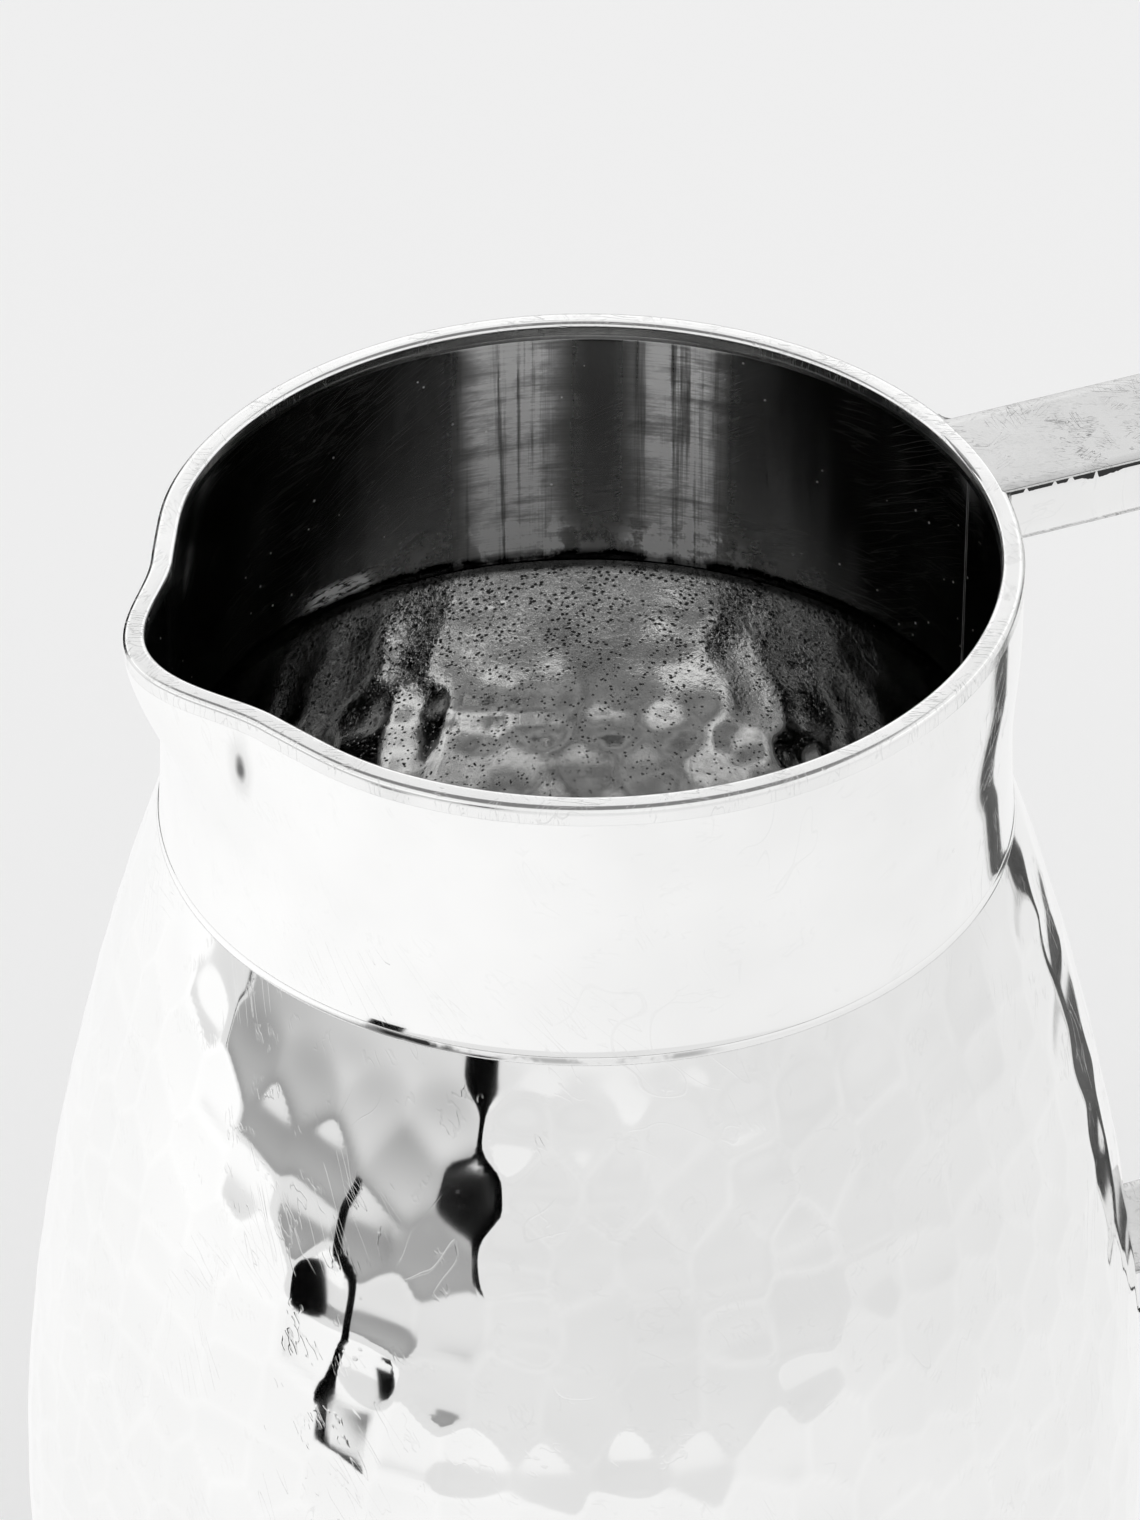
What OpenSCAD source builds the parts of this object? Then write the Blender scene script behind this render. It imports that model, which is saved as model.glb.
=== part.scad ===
// Water pitcher in hammered silver: a raised bowl, a plain collar with a
// pinched pouring lip, a thick flat rim, a soldered base and a squared hollow
// handle made of four strips.
// Units are millimetres. +Z is up, the axis of the bowl is Z, the handle runs
// out along +X and the pouring lip along -X. The origin is the centre of the
// underside of the base.

/* [Overall] */

// Height from the table to the top of the rim
total_h = 210; // [170:1:260]

// Outside diameter of the rim
rim_d = 110; // [90:1:140]

/* [Collar] */

// Height of the plain collar, rim included
collar_h = 38; // [25:1:60]

// Thickness of the collar wall
collar_wall = 1.2; // [0.8:0.1:2]

// How much the collar narrows at its waist, on the radius
collar_waist = 0.9; // [0:0.1:3]

// How far the foot of the collar stands out from its waist
collar_kick = 1.1; // [0.6:0.1:2]

/* [Rim] */

// Width of the flat rim, seen from above
rim_w = 3; // [2:0.1:5]

// Height of the rim band
rim_t = 2.4; // [1.5:0.1:4]

// Bevel on the edges of the rim band
rim_ease = 0.5; // [0.2:0.1:0.7]

/* [Pouring lip] */

// How far the lip reaches out past the round rim
lip_reach = 6; // [3:0.5:12]

// Half of the angle that the lip takes up
lip_half_angle = 21; // [14:1:30]

// Depth below the rim over which the lip fades out
lip_depth = 26; // [15:1:32]

/* [Bowl] */

// Largest radius of the bowl
belly_r = 76.5; // [60:0.5:95]

// Height of the widest place above the table
belly_z = 58; // [45:1:90]

// Radius of the bowl where it meets the foot ring
bowl_base_r = 51.5; // [40:0.5:60]

// Thickness of the bowl wall
bowl_wall = 1; // [0.8:0.1:2]

// Fullness of the shoulder, larger is squarer
shoulder_power = 1.8; // [1.5:0.1:3]

// Fullness of the lower curve, larger is squarer
lower_power = 2.6; // [2:0.1:4]

/* [Base] */

// Thickness of the base plate
base_t = 1.2; // [1:0.1:3]

// Width of the foot ring
foot_w = 3; // [2:0.1:5]

// Height of the foot ring
foot_h = 3; // [2:0.1:6]

/* [Handle] */

// Width of the handle bar across the flat
handle_w = 18; // [12:0.5:24]

// Depth of the handle bar
handle_t = 8; // [6:0.5:12]

// Distance from the axis to the inside of the grip
grip_x = 108; // [100:1:130]

// Height of the underside of the lower arm
lower_arm_z = 64.4; // [50:0.5:90]

// Thickness of the strips that the handle is made of
strip_t = 1.2; // [0.8:0.1:2]

// Radius of the two outer corners of the handle
corner_r = 9; // [4:0.5:16]

// How far the side strips sit in from the edges of the others
side_inset = 0.2; // [0.1:0.1:0.6]

/* [Solder] */

// Size of the solder fillet around the roots of the handle
fillet_w = 1.2; // [0.6:0.1:2]

// Height of the solder line below the collar
seam_fillet = 1.6; // [0.8:0.1:3]

/* [Hidden] */

// How far the top of the bowl sits inside the outside of the collar's foot.
bowl_tuck = 0.6;
// How far the foot ring stands out past the edge of the bowl.
foot_seat = 0.5;
// Length of the straight part of the collar below the rim, rim included.
straight_h = 10;
// Height of the kick at the foot of the collar.
kick_h = 5;

$fn = 360;
rim_r = rim_d / 2;
seam_z = total_h - collar_h;
collar_top = total_h - rim_t;
waist_r = rim_r - collar_waist;
collar_foot_r = waist_r + collar_kick;
collar_bore_r = waist_r - collar_wall;
bowl_top_r = collar_foot_r - bowl_tuck;
grip_out_x = grip_x + handle_t;
handle_in_y = handle_w / 2 - side_inset;
cuts = 26;
loop_cols = 144;

// Outer radius of the bowl at a height above the table.
function bowl_r(z) =
    z > belly_z
    ? belly_r - (belly_r - bowl_top_r)
        * pow((z - belly_z) / (seam_z - belly_z), shoulder_power)
    : belly_r - (belly_r - bowl_base_r)
        * pow((belly_z - z) / (belly_z - foot_h), lower_power);

// Height of step i of the bowl's curve, closer together near the base.
function bowl_z(i) =
    foot_h + (seam_z - foot_h) * (1 - cos(180 * i / cuts)) / 2;

// Outer radius of the collar: straight below the rim, a soft waist, and a
// short kick out at its foot.
function collar_r(z) =
    z > total_h - straight_h ? rim_r
    : z > seam_z + kick_h
    ? rim_r - collar_waist * (1 - cos(180 * (total_h - straight_h - z)
        / (collar_h - straight_h - kick_h))) / 2
    : waist_r + collar_kick * pow((seam_z + kick_h - z) / kick_h, 2);

// How far the lip stands out at an angle off its middle and a height.
function lip_out(a, z) =
    abs(a) >= lip_half_angle || z <= total_h - lip_depth ? 0
    : lip_reach * pow(cos(90 * a / lip_half_angle), 2)
        * pow(cos(90 * (total_h - z) / lip_depth), 2.4);

// Heights of the collar's outer and inner faces, from the seam up.
collar_out_zs = concat(
    [for (part = [0, 0.2, 0.4, 0.68, 1]) seam_z + kick_h * part],
    [for (i = [1:5]) seam_z + kick_h
        + (collar_h - straight_h - kick_h) * i / 5],
    [for (i = [1:3]) total_h - straight_h + (straight_h - rim_t) * i / 3]);
collar_in_zs = concat(
    [seam_z, total_h - lip_depth + 2],
    [for (i = [1:5]) total_h - lip_depth + 2
        + (lip_depth - 2 - rim_t) * i / 5]);

// Closed section of the collar as radius and height.
collar_section = concat(
    [for (z = collar_out_zs) [collar_r(z), z]],
    [for (i = [len(collar_in_zs) - 1:-1:0])
        [collar_bore_r, collar_in_zs[i]]]);

// Closed section of the rim band as radius and height.
rim_section = [
    [rim_r, collar_top],
    [rim_r, total_h - rim_ease],
    [rim_r - rim_ease * 0.3, total_h - rim_ease * 0.3],
    [rim_r - rim_ease, total_h],
    [rim_r - rim_w + rim_ease, total_h],
    [rim_r - rim_w + rim_ease * 0.3, total_h - rim_ease * 0.3],
    [rim_r - rim_w, total_h - rim_ease],
    [rim_r - rim_w, collar_top + 0.3],
    [rim_r - rim_w + 0.3, collar_top]];

// A band around the axis with a closed section, pushed out to a pouring lip
// around -X, made as one closed loop of flats.
module lipped_loop(section) {
    rows = len(section);
    points = [for (c = [0:loop_cols - 1]) for (p = section)
        let (a = -180 + 360 * c / loop_cols)
        let (r = p[0] + lip_out(a, p[1]))
        [r * cos(180 + a), r * sin(180 + a), p[1]]];
    sides = [for (c = [0:loop_cols - 1]) for (k = [0:rows - 1])
        for (half = [0, 1])
        let (n = (k + 1) % rows)
        let (d = (c + 1) % loop_cols)
        half == 0
        ? [c * rows + k, d * rows + n, d * rows + k]
        : [c * rows + k, c * rows + n, d * rows + n]];
    polyhedron(points = points, faces = sides);
}

module bowl() {
    color([0.86, 0.86, 0.86])
        rotate_extrude()
            polygon(concat(
                [for (i = [0:cuts]) [bowl_r(bowl_z(i)), bowl_z(i)]],
                [for (i = [cuts:-1:0])
                    [bowl_r(bowl_z(i)) - bowl_wall, bowl_z(i)]]));
}

module collar() {
    color([0.9, 0.9, 0.9])
        lipped_loop(collar_section);
}

module rim_band() {
    color([0.94, 0.94, 0.94])
        lipped_loop(rim_section);
}

module base_plate() {
    color([0.78, 0.78, 0.8])
        cylinder(r = bowl_base_r - foot_w + foot_seat, h = base_t);
}

module foot_ring() {
    inner = bowl_base_r - foot_w + foot_seat;
    outer = bowl_base_r + foot_seat;
    color([0.84, 0.84, 0.86])
        rotate_extrude()
            polygon([
                [inner, 0],
                [outer - 0.8, 0],
                [outer - 0.2, 0.4],
                [outer, 1],
                [outer, foot_h - 0.6],
                [outer - 0.4, foot_h],
                [inner, foot_h]]);
}

module collar_solder() {
    low = seam_z - seam_fillet;
    color([0.7, 0.7, 0.72])
        rotate_extrude()
            polygon([
                [bowl_top_r, seam_z],
                [collar_foot_r, seam_z],
                [collar_foot_r + 0.12, seam_z - 0.5],
                [bowl_r(low) + 0.05, low],
                [bowl_line(low), low]]);
}

// Radius of the bowl's straight-sided top step at a height, where the solder
// lies against it.
function bowl_line(z) =
    let (z0 = bowl_z(cuts - 1))
    let (r0 = bowl_r(z0))
    bowl_top_r + (r0 - bowl_top_r) * (seam_z - z) / (seam_z - z0);

// Rectangle in the XZ plane with two rounded corners on its outer side,
// drawn in the plane z = 0 for extruding.
module rounded_frame(x1, z0, z1, r) {
    union() {
        translate([0, z0])
            square([x1 - r, z1 - z0]);
        translate([x1 - r - 0.01, z0 + r])
            square([r + 0.01, z1 - z0 - 2 * r]);
        for (z = [z0 + r, z1 - r])
            translate([x1 - r, z])
                circle(r = r);
    }
}

// Layer of the handle between two depths below its outer surface.
module handle_layer(from, to, width, y) {
    translate([0, y + width / 2, 0])
        rotate([90, 0, 0])
            linear_extrude(height = width)
                difference() {
                    rounded_frame(grip_out_x - from, lower_arm_z + from,
                        total_h - from, max(corner_r - from, 0.6));
                    translate([-1, 0])
                        rounded_frame(grip_out_x - to + 1, lower_arm_z + to,
                            total_h - to, max(corner_r - to, 0.6));
                }
}

// What the handle is fitted against: the round of the collar and the bowl.
module vessel_outside() {
    translate([0, 0, seam_z])
        cylinder(r = rim_r, h = collar_h + 1);
    rotate_extrude()
        polygon(concat(
            [[0, foot_h]],
            [for (i = [0:cuts]) [bowl_r(bowl_z(i)), bowl_z(i)]],
            [[0, seam_z]]));
}

module handle_outer_strip() {
    color([0.88, 0.88, 0.9])
        difference() {
            handle_layer(0, strip_t, handle_w, 0);
            vessel_outside();
        }
}

module handle_inner_strip() {
    color([0.8, 0.8, 0.82])
        difference() {
            handle_layer(handle_t - strip_t, handle_t, handle_w, 0);
            vessel_outside();
        }
}

// One of the two side strips, flush between the outer and inner strips.
module handle_side(side) {
    difference() {
        handle_layer(strip_t, handle_t - strip_t, strip_t,
            side * (handle_in_y - strip_t / 2));
        vessel_outside();
    }
}

module handle_near_side() {
    color([0.92, 0.92, 0.92])
        handle_side(-1);
}

module handle_far_side() {
    color([0.92, 0.92, 0.92])
        handle_side(1);
}

module upper_arm_solder() {
    low = total_h - handle_t;
    color([0.7, 0.7, 0.72])
        difference() {
            translate([rim_r - 3, -handle_w / 2 - fillet_w, low - fillet_w])
                cube([3 + fillet_w, handle_w + 2 * fillet_w,
                    handle_t - rim_t + fillet_w]);
            translate([0, -handle_w / 2, low])
                cube([100, handle_w, handle_t + 1]);
            translate([0, 0, seam_z])
                cylinder(r = rim_r, h = collar_h + 1);
            for (side = [-1, 1])
                translate([rim_r + fillet_w, side * (handle_w / 2 + fillet_w),
                    low - fillet_w - 1])
                    cylinder(r = fillet_w * 0.9, h = 20);
        }
}

module lower_arm_solder() {
    reach = bowl_r(lower_arm_z + handle_t / 2);
    color([0.7, 0.7, 0.72])
        difference() {
            translate([reach - 3, -handle_w / 2 - fillet_w,
                lower_arm_z - fillet_w])
                cube([3 + fillet_w, handle_w + 2 * fillet_w,
                    handle_t + 2 * fillet_w]);
            translate([0, -handle_w / 2, lower_arm_z])
                cube([100, handle_w, handle_t]);
            vessel_outside();
            for (side = [-1, 1])
                translate([reach + fillet_w, side * (handle_w / 2 + fillet_w),
                    lower_arm_z - fillet_w - 1])
                    cylinder(r = fillet_w * 0.9, h = 20);
        }
}

bowl();
collar();
rim_band();
base_plate();
foot_ring();
collar_solder();
handle_outer_strip();
handle_inner_strip();
handle_near_side();
handle_far_side();
upper_arm_solder();
lower_arm_solder();
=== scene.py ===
"""Looks of a hammered silver water pitcher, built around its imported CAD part.

Every length in the geometry functions is in millimetres until to_metres()
hands a surface to Blender. +Z is up the axis of the bowl, +X runs out along
the handle and -X along the pouring lip.
"""

import functools
import math

import bpy
import numpy as np
from mathutils import Matrix, Vector


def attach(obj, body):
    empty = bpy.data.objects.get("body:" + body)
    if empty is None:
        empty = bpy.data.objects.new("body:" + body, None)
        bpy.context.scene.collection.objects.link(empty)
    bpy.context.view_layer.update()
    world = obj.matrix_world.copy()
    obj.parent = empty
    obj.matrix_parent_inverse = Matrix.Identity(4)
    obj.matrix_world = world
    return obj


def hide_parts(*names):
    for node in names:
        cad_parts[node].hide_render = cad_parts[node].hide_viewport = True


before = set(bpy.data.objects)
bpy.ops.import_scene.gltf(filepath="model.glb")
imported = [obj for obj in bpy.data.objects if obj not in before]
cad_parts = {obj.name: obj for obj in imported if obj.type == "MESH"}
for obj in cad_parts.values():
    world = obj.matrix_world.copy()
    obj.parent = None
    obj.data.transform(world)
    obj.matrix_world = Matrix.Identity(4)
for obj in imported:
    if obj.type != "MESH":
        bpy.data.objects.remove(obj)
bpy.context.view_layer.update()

bl_info = {
    "name": "Silver water pitcher",
    "version": (1, 0, 0),
    "blender": (4, 5, 0),
    "location": "View3D > Sidebar > Pitcher",
    "description": "Hammered bowl, collar, rim, handle and base of a silver water pitcher",
    "category": "Object",
}

BODY = "root"
MM = 0.001

TOTAL_H = 210.0
RIM_R = 55.0
RIM_T = 2.4
RIM_W = 3.0
SEAM_Z = 172.0
COLLAR_FOOT_R = 54.95
COLLAR_WAIST_R = 54.25
COLLAR_BORE_R = 52.9
BOWL_TOP_R = 54.85
BELLY_R = 76.5
BELLY_Z = 58.0
BOWL_BASE_R = 51.5
BOWL_WALL = 1.0
FOOT_H = 3.0
FOOT_IN_R = 49.0
FOOT_OUT_R = 52.0
BASE_T = 1.2
HANDLE_W = 18.0
HANDLE_T = 8.0
GRIP_OUT_X = 116.0
LOWER_ARM_Z = 64.4
STRIP_T = 1.2
STRIP_EDGE = 0.4
CORNER_R = 9.0
SIDE_INSET = 0.06
# How far the lower arm reaches into the bowl, the outer strip in under the
# rim's rounded edge, and the other strips into the collar.
ARM_BURY = 0.4
OUTER_STRIP_BURY = 2.1
STRIP_BURY = 0.25
# Small step that keeps a face clear of the one beside it.
CLEARANCE = 0.012
# Radius at which angles round the bowl become lengths along its surface.
BOWL_UV_R = 70.0
# Shortest straight step round a strip's section.
SECTION_STEP = 1.5
# Steps of the handle's path between which it is the upright grip.
GRIP_STEPS = (46, 98)
# Steps along a seam's dark line of painted shade and oxide, the solder lumps
# that cover it, and half the width that is left of it there.
SEAM_STEPS = 700
SEAM_LUMPS = 46
LUMP_HALF = 0.004

# Streaks of painted reflection inside the neck, rough like wiped metal, as (middle, half width),
# in radians.
PAINTED_REFLECTIONS = ((1.36, 0.17), (0.94, 0.15), (3.55, 0.10), (5.1, 0.20))
# Rough patch of painted highlight inside the neck: its angle in radians and
# height in metres, and half its width and height in the same units.
HIGHLIGHT_AT = (1.84, 0.1746)
HIGHLIGHT_HALF = (0.14, 0.0020)
# Direction away from the usual camera, in radians.
BACK_ANGLE = 1.17
# Smudge on the collar: its place in metres, with the height squeezed so that
# the smudge comes out taller than wide.
SMUDGE_SQUEEZE = 0.42
SMUDGE_AT = (-0.0527, -0.0164, 0.2022 * SMUDGE_SQUEEZE + 0.0005)

# Half sizes of the floor and of the card overhead, and that card's height.
FLOOR_HALF = 6000.0
ROOF_HALF = 900.0
ROOF_Z = 1500.0

# Edge of the bright table top as (angle, distance), seen only in reflections.
TABLE_EDGE = ((-180, 800), (-135, 800), (-110, 760), (-95, 680), (-75, 600), (-58, 520),
              (-42, 430), (-20, 400), (0, 395), (30, 410), (60, 520), (80, 640), (100, 760),
              (135, 800))
# Name, level, rise of level per metre up, first and last angle, distance,
# lowest and highest point.
STANDING_CARDS = (
    ("card_grey", 0.30, 3.2, -84.0, -27.0, 690.0, 0.0, 330.0),
    ("card_grey_edge", 0.02, 0.0, -86.0, -85.2, 680.0, 0.0, 300.0),
    ("card_black_low", 0.0, 0.0, -52.0, -43.0, 370.0, 0.0, 90.0),
    ("card_black_high", 0.0, 0.0, -27.0, -19.5, 480.0, 70.0, 215.0),
    ("card_black_back", 0.0, 0.0, 143.0, 152.0, 380.0, 0.0, 60.0),
    ("card_far_behind", 0.03, 0.0, 125.0, 235.0, 1500.0, 150.0, 300.0),
    ("card_black_left", 0.0, 0.0, -158.0, -122.0, 900.0, 0.0, 560.0),
    ("card_backdrop", 0.85, 0.0, 150.0, 210.0, 2000.0, 1540.0, 1960.0),
    ("card_behind_bright", 1.3, 0.0, 80.0, 280.0, 2100.0, 1150.0, 1520.0),
)


# ---- surfaces ----


def bowl_radius(z):
    """Radius of the bowl's outside at height z: a power curve from the belly
    up to the collar and a squarer one from the belly down to the foot."""
    z = np.asarray(z, float)
    up = np.clip((z - BELLY_Z) / (SEAM_Z - BELLY_Z), 0, 1)
    down = np.clip((BELLY_Z - z) / (BELLY_Z - FOOT_H), 0, 1)
    drawn_in = (BELLY_R - BOWL_TOP_R) * up**1.8
    return BELLY_R - drawn_in - (BELLY_R - BOWL_BASE_R) * down**2.6


def collar_radius(z):
    """Radius of the collar's outside: straight under the rim, a soft waist,
    and a slow flare out to its foot that turns a little sharper at the end."""
    z = np.asarray(z, float)
    waist = np.clip((TOTAL_H - 10 - z) / 16.0, 0, 1)
    r = RIM_R - (RIM_R - COLLAR_WAIST_R) * (1 - np.cos(np.pi * waist)) / 2
    flare = np.clip((SEAM_Z + 16 - z) / 16, 0, 1)
    kick = np.clip((SEAM_Z + 1.4 - z) / 1.4, 0, 1)
    return r + (COLLAR_FOOT_R - COLLAR_WAIST_R) * (0.9 * flare**2 + 0.1 * kick**2)


def lip_offset(theta, z, reach, half_angle, depth):
    """How far the pouring lip stands out at angle theta and height z: a cosine
    hump around -X with a small draw-in on both sides of it, fading downward."""
    a = np.degrees(np.abs(wrap(theta - np.pi)))
    hump = np.where(a < half_angle, np.cos(np.pi / 2 * a / half_angle) ** 2, 0.0)
    dip_at = half_angle + 5.0
    dip = np.exp(-(((a - dip_at) / 8.0) ** 2))
    fade = np.cos(np.pi / 2 * np.clip((TOTAL_H - z) / depth, 0, 1)) ** 2.4
    return (reach * hump - 0.5 * dip) * fade


def wrap(angle):
    """Angle folded into -pi..pi."""
    return (angle + np.pi) % (2 * np.pi) - np.pi


def resample(points, count):
    """Points evenly spaced by length along a polyline of (r, z) rows."""
    points = np.asarray(points, float)
    step = np.hypot(*np.diff(points, axis=0).T)
    length = np.concatenate([[0], np.cumsum(step)])
    at = np.linspace(0, length[-1], count)
    return np.stack([np.interp(at, length, points[:, i]) for i in (0, 1)], -1), at


def smooth_noise(theta, z, seed, height):
    """Mean of a few slow waves around and up the pitcher, between about -1
    and 1, for the small wobble of hand work."""
    rng = np.random.default_rng(seed)
    waves = 6
    total = np.zeros(theta.shape)
    for _ in range(waves):
        phase = rng.integers(1, 6) * theta + rng.uniform(0, 2 * np.pi)
        total = total + np.sin(phase + z / height * rng.uniform(-2, 2))
    return total / waves


def hammer_marks(theta, along, radii, pitch, seed, concave, jitter):
    """Relief of hammer marks over a grid of angles, on a profile with a length
    along it and a radius for every row: millimetres along the outward normal,
    and how near each point is to a ridge between two marks, from 0 to 1.

    Marks stand in staggered, jittered rows round the bowl. Each mark is a
    shallow dish: distance squared from its middle times a curvature, plus a
    small tilt and a depth of its own. The relief at a point is the soft
    minimum over the dishes near it, so neighbours meet in rounded ridges."""
    rng = np.random.default_rng(seed)
    centres = []
    length = along.max()
    rows = int(round(length / pitch))
    for row in range(rows + 1):
        s = length * row / rows
        r = np.interp(s, along, radii)
        count = int(round(2 * np.pi * r / (pitch * 0.98)))
        start = rng.uniform(0, 2 * np.pi)
        for i in range(count):
            # About one mark in five was struck much deeper than the others.
            deep = rng.uniform(2.2, 3.6) if rng.uniform() < 0.22 else rng.uniform(0.5, 1.3)
            centres.append((
                start + 2 * np.pi * (i + rng.uniform(-jitter, jitter)) / count,
                s + pitch * rng.uniform(-jitter, jitter),
                rng.uniform(-1, 1), rng.uniform(-1, 1), rng.uniform(-1, 1), deep))
    centres = np.array(centres)
    centre_r = np.interp(centres[:, 1], along, radii)
    out = np.empty(theta.shape)
    ridge = np.empty(theta.shape)
    sharp, ridge_width = 17.0, 0.075
    tilt, rise, flat_v = 0.012, 0.03, 0.0022
    for j, (s, r) in enumerate(zip(along, radii)):
        near = np.abs(centres[:, 1] - s) < pitch * 2.2
        angle, place, tilt_u, tilt_v, lift, deep = centres[near].T[:, None]
        du = wrap(theta[:, j, None] - angle) * (r + centre_r[near]) / 2
        dv = s - place
        q = (1 / (2 * r) + concave * deep) * du**2 + (flat_v + concave * deep) * dv**2
        q = q + tilt * (tilt_u * du + tilt_v * dv) + rise * lift
        q = q - 0.5 * concave * (pitch / 2) ** 2 * deep
        lowest = np.partition(q, 1, axis=1)[:, :2]
        out[:, j] = lowest[:, 0] - np.log(np.exp(-sharp * (q - lowest[:, :1])).sum(1)) / sharp
        ridge[:, j] = np.exp(-(((lowest[:, 1] - lowest[:, 0]) / ridge_width) ** 2))
    return out - out.mean(), ridge


def lathe_grid(profile, columns):
    """Angles and profile spread over a columns x rows grid."""
    theta = np.linspace(0, 2 * np.pi, columns, endpoint=False)
    return np.broadcast_arrays(theta[:, None], profile[:, 0], profile[:, 1])


def around(theta, r, z):
    """Points of a surface around the axis from angle, radius and height."""
    return np.stack([r * np.cos(theta), r * np.sin(theta), z], -1)


def bezier(a, b, c, count):
    """Points on the curve from a to c that leaves and arrives towards b."""
    t = np.linspace(0, 1, count)[:, None]
    a, b, c = (np.asarray(p, float) for p in (a, b, c))
    return (1 - t) ** 2 * a + 2 * t * (1 - t) * b + t**2 * c


# ---- meshes ----


def add_mesh(name, verts, faces, material_index=None, uv=None, ridge_highlight=None):
    """Mesh object from vertices in millimetres and quads or polygons. The last
    argument is a number per vertex that a material can read: the painted
    highlight on the hammered ridges."""
    mesh = bpy.data.meshes.new(name)
    mesh.from_pydata((np.asarray(verts, float) * MM).tolist(), [], faces)
    mesh.shade_smooth()
    if material_index is not None:
        mesh.polygons.foreach_set("material_index", np.asarray(material_index, np.int32))
    if uv is not None:
        layer = mesh.uv_layers.new(name="surface")
        loops = np.empty(len(mesh.loops), np.int32)
        mesh.loops.foreach_get("vertex_index", loops)
        layer.data.foreach_set("uv", (np.asarray(uv, float)[loops] * MM).ravel())
    if ridge_highlight is not None:
        layer = mesh.attributes.new("ridge_highlight", "FLOAT", "POINT")
        layer.data.foreach_set("value", np.asarray(ridge_highlight, np.float32).ravel())
    mesh.update()
    obj = bpy.data.objects.new(name, mesh)
    bpy.context.scene.collection.objects.link(obj)
    return obj


def grid_faces(columns, rows, close_columns, close_rows, flip=False):
    """Quads of a columns x rows grid of vertices, column by column."""
    c = np.arange(columns if close_columns else columns - 1)
    r = np.arange(rows if close_rows else rows - 1)
    c, r = (x.ravel() for x in np.meshgrid(c, r, indexing="ij"))
    d, s = (c + 1) % columns, (r + 1) % rows
    quads = np.stack([c * rows + r, d * rows + r, d * rows + s, c * rows + s], -1)
    return (quads[:, ::-1] if flip else quads), c, r


def grid_object(name, points, close_columns=True, close_rows=False, flip=False,
                slots=0, uv=None, caps=False, ridge_highlight=None, slot_columns=(0, np.inf)):
    """Object from a columns x rows grid of points. slots gives a material
    index to each row between the two columns of slot_columns, and caps closes
    both ends of an open column direction."""
    columns, rows = points.shape[:2]
    quads, column, row = grid_faces(columns, rows, close_columns, close_rows, flip)
    faces = quads.tolist()
    start, end = slot_columns
    index = list(np.broadcast_to(slots, rows)[row] * ((column >= start) & (column < end)))
    if caps:
        first, last = list(range(rows)), list(range((columns - 1) * rows, columns * rows))
        faces += [first, last[::-1]] if flip else [first[::-1], last]
        index += [index[0]] * 2
    flat_uv = None if uv is None else uv.reshape(-1, 2)
    return add_mesh(name, points.reshape(-1, 3), faces, index, flat_uv, ridge_highlight)


def lathe(name, section, columns, **options):
    """Object from a closed section turned round the axis."""
    return grid_object(name, around(*lathe_grid(section, columns)), close_rows=True, **options)


def finish_piece(obj, looks, node, replaces=True):
    """Puts the named looks on a piece and ties it to the CAD part."""
    for look in looks:
        obj.data.materials.append(material(look))
    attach(obj, BODY)
    if replaces:
        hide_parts(node)


# ---- materials ----


class Value:
    """A shader socket that can be used in Python arithmetic."""

    def __init__(self, tree, socket):
        self.tree, self.socket = tree, socket

    def _math(self, operation, *operands):
        node = self.tree.nodes.new("ShaderNodeMath")
        node.operation = operation
        for i, operand in enumerate(operands):
            if isinstance(operand, Value):
                self.tree.links.new(operand.socket, node.inputs[i])
            else:
                node.inputs[i].default_value = operand
        return Value(self.tree, node.outputs[0])

    def __add__(self, other):
        return self._math("ADD", self, other)

    def __radd__(self, other):
        return self._math("ADD", other, self)

    def __sub__(self, other):
        return self._math("SUBTRACT", self, other)

    def __rsub__(self, other):
        return self._math("SUBTRACT", other, self)

    def __mul__(self, other):
        return self._math("MULTIPLY", self, other)

    def __rmul__(self, other):
        return self._math("MULTIPLY", other, self)

    def __truediv__(self, other):
        return self._math("DIVIDE", self, other)

    def __rtruediv__(self, other):
        return self._math("DIVIDE", other, self)

    def __abs__(self):
        return self._math("ABSOLUTE", self)

    def clamp(self, low=0.0, high=1.0):
        return self._math("MINIMUM", self._math("MAXIMUM", self, low), high)

    def high(self, other):
        return self._math("MAXIMUM", self, other)

    def atan2(self, other):
        return self._math("ARCTAN2", self, other)

    def band(self, start, end):
        """0 below start, 1 above end, smooth between them."""
        node = self.tree.nodes.new("ShaderNodeMapRange")
        node.interpolation_type = "SMOOTHSTEP"
        self.tree.links.new(self.socket, node.inputs["Value"])
        node.inputs["From Min"].default_value = min(start, end)
        node.inputs["From Max"].default_value = max(start, end)
        out = Value(self.tree, node.outputs["Result"])
        return out if end > start else 1.0 - out


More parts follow.
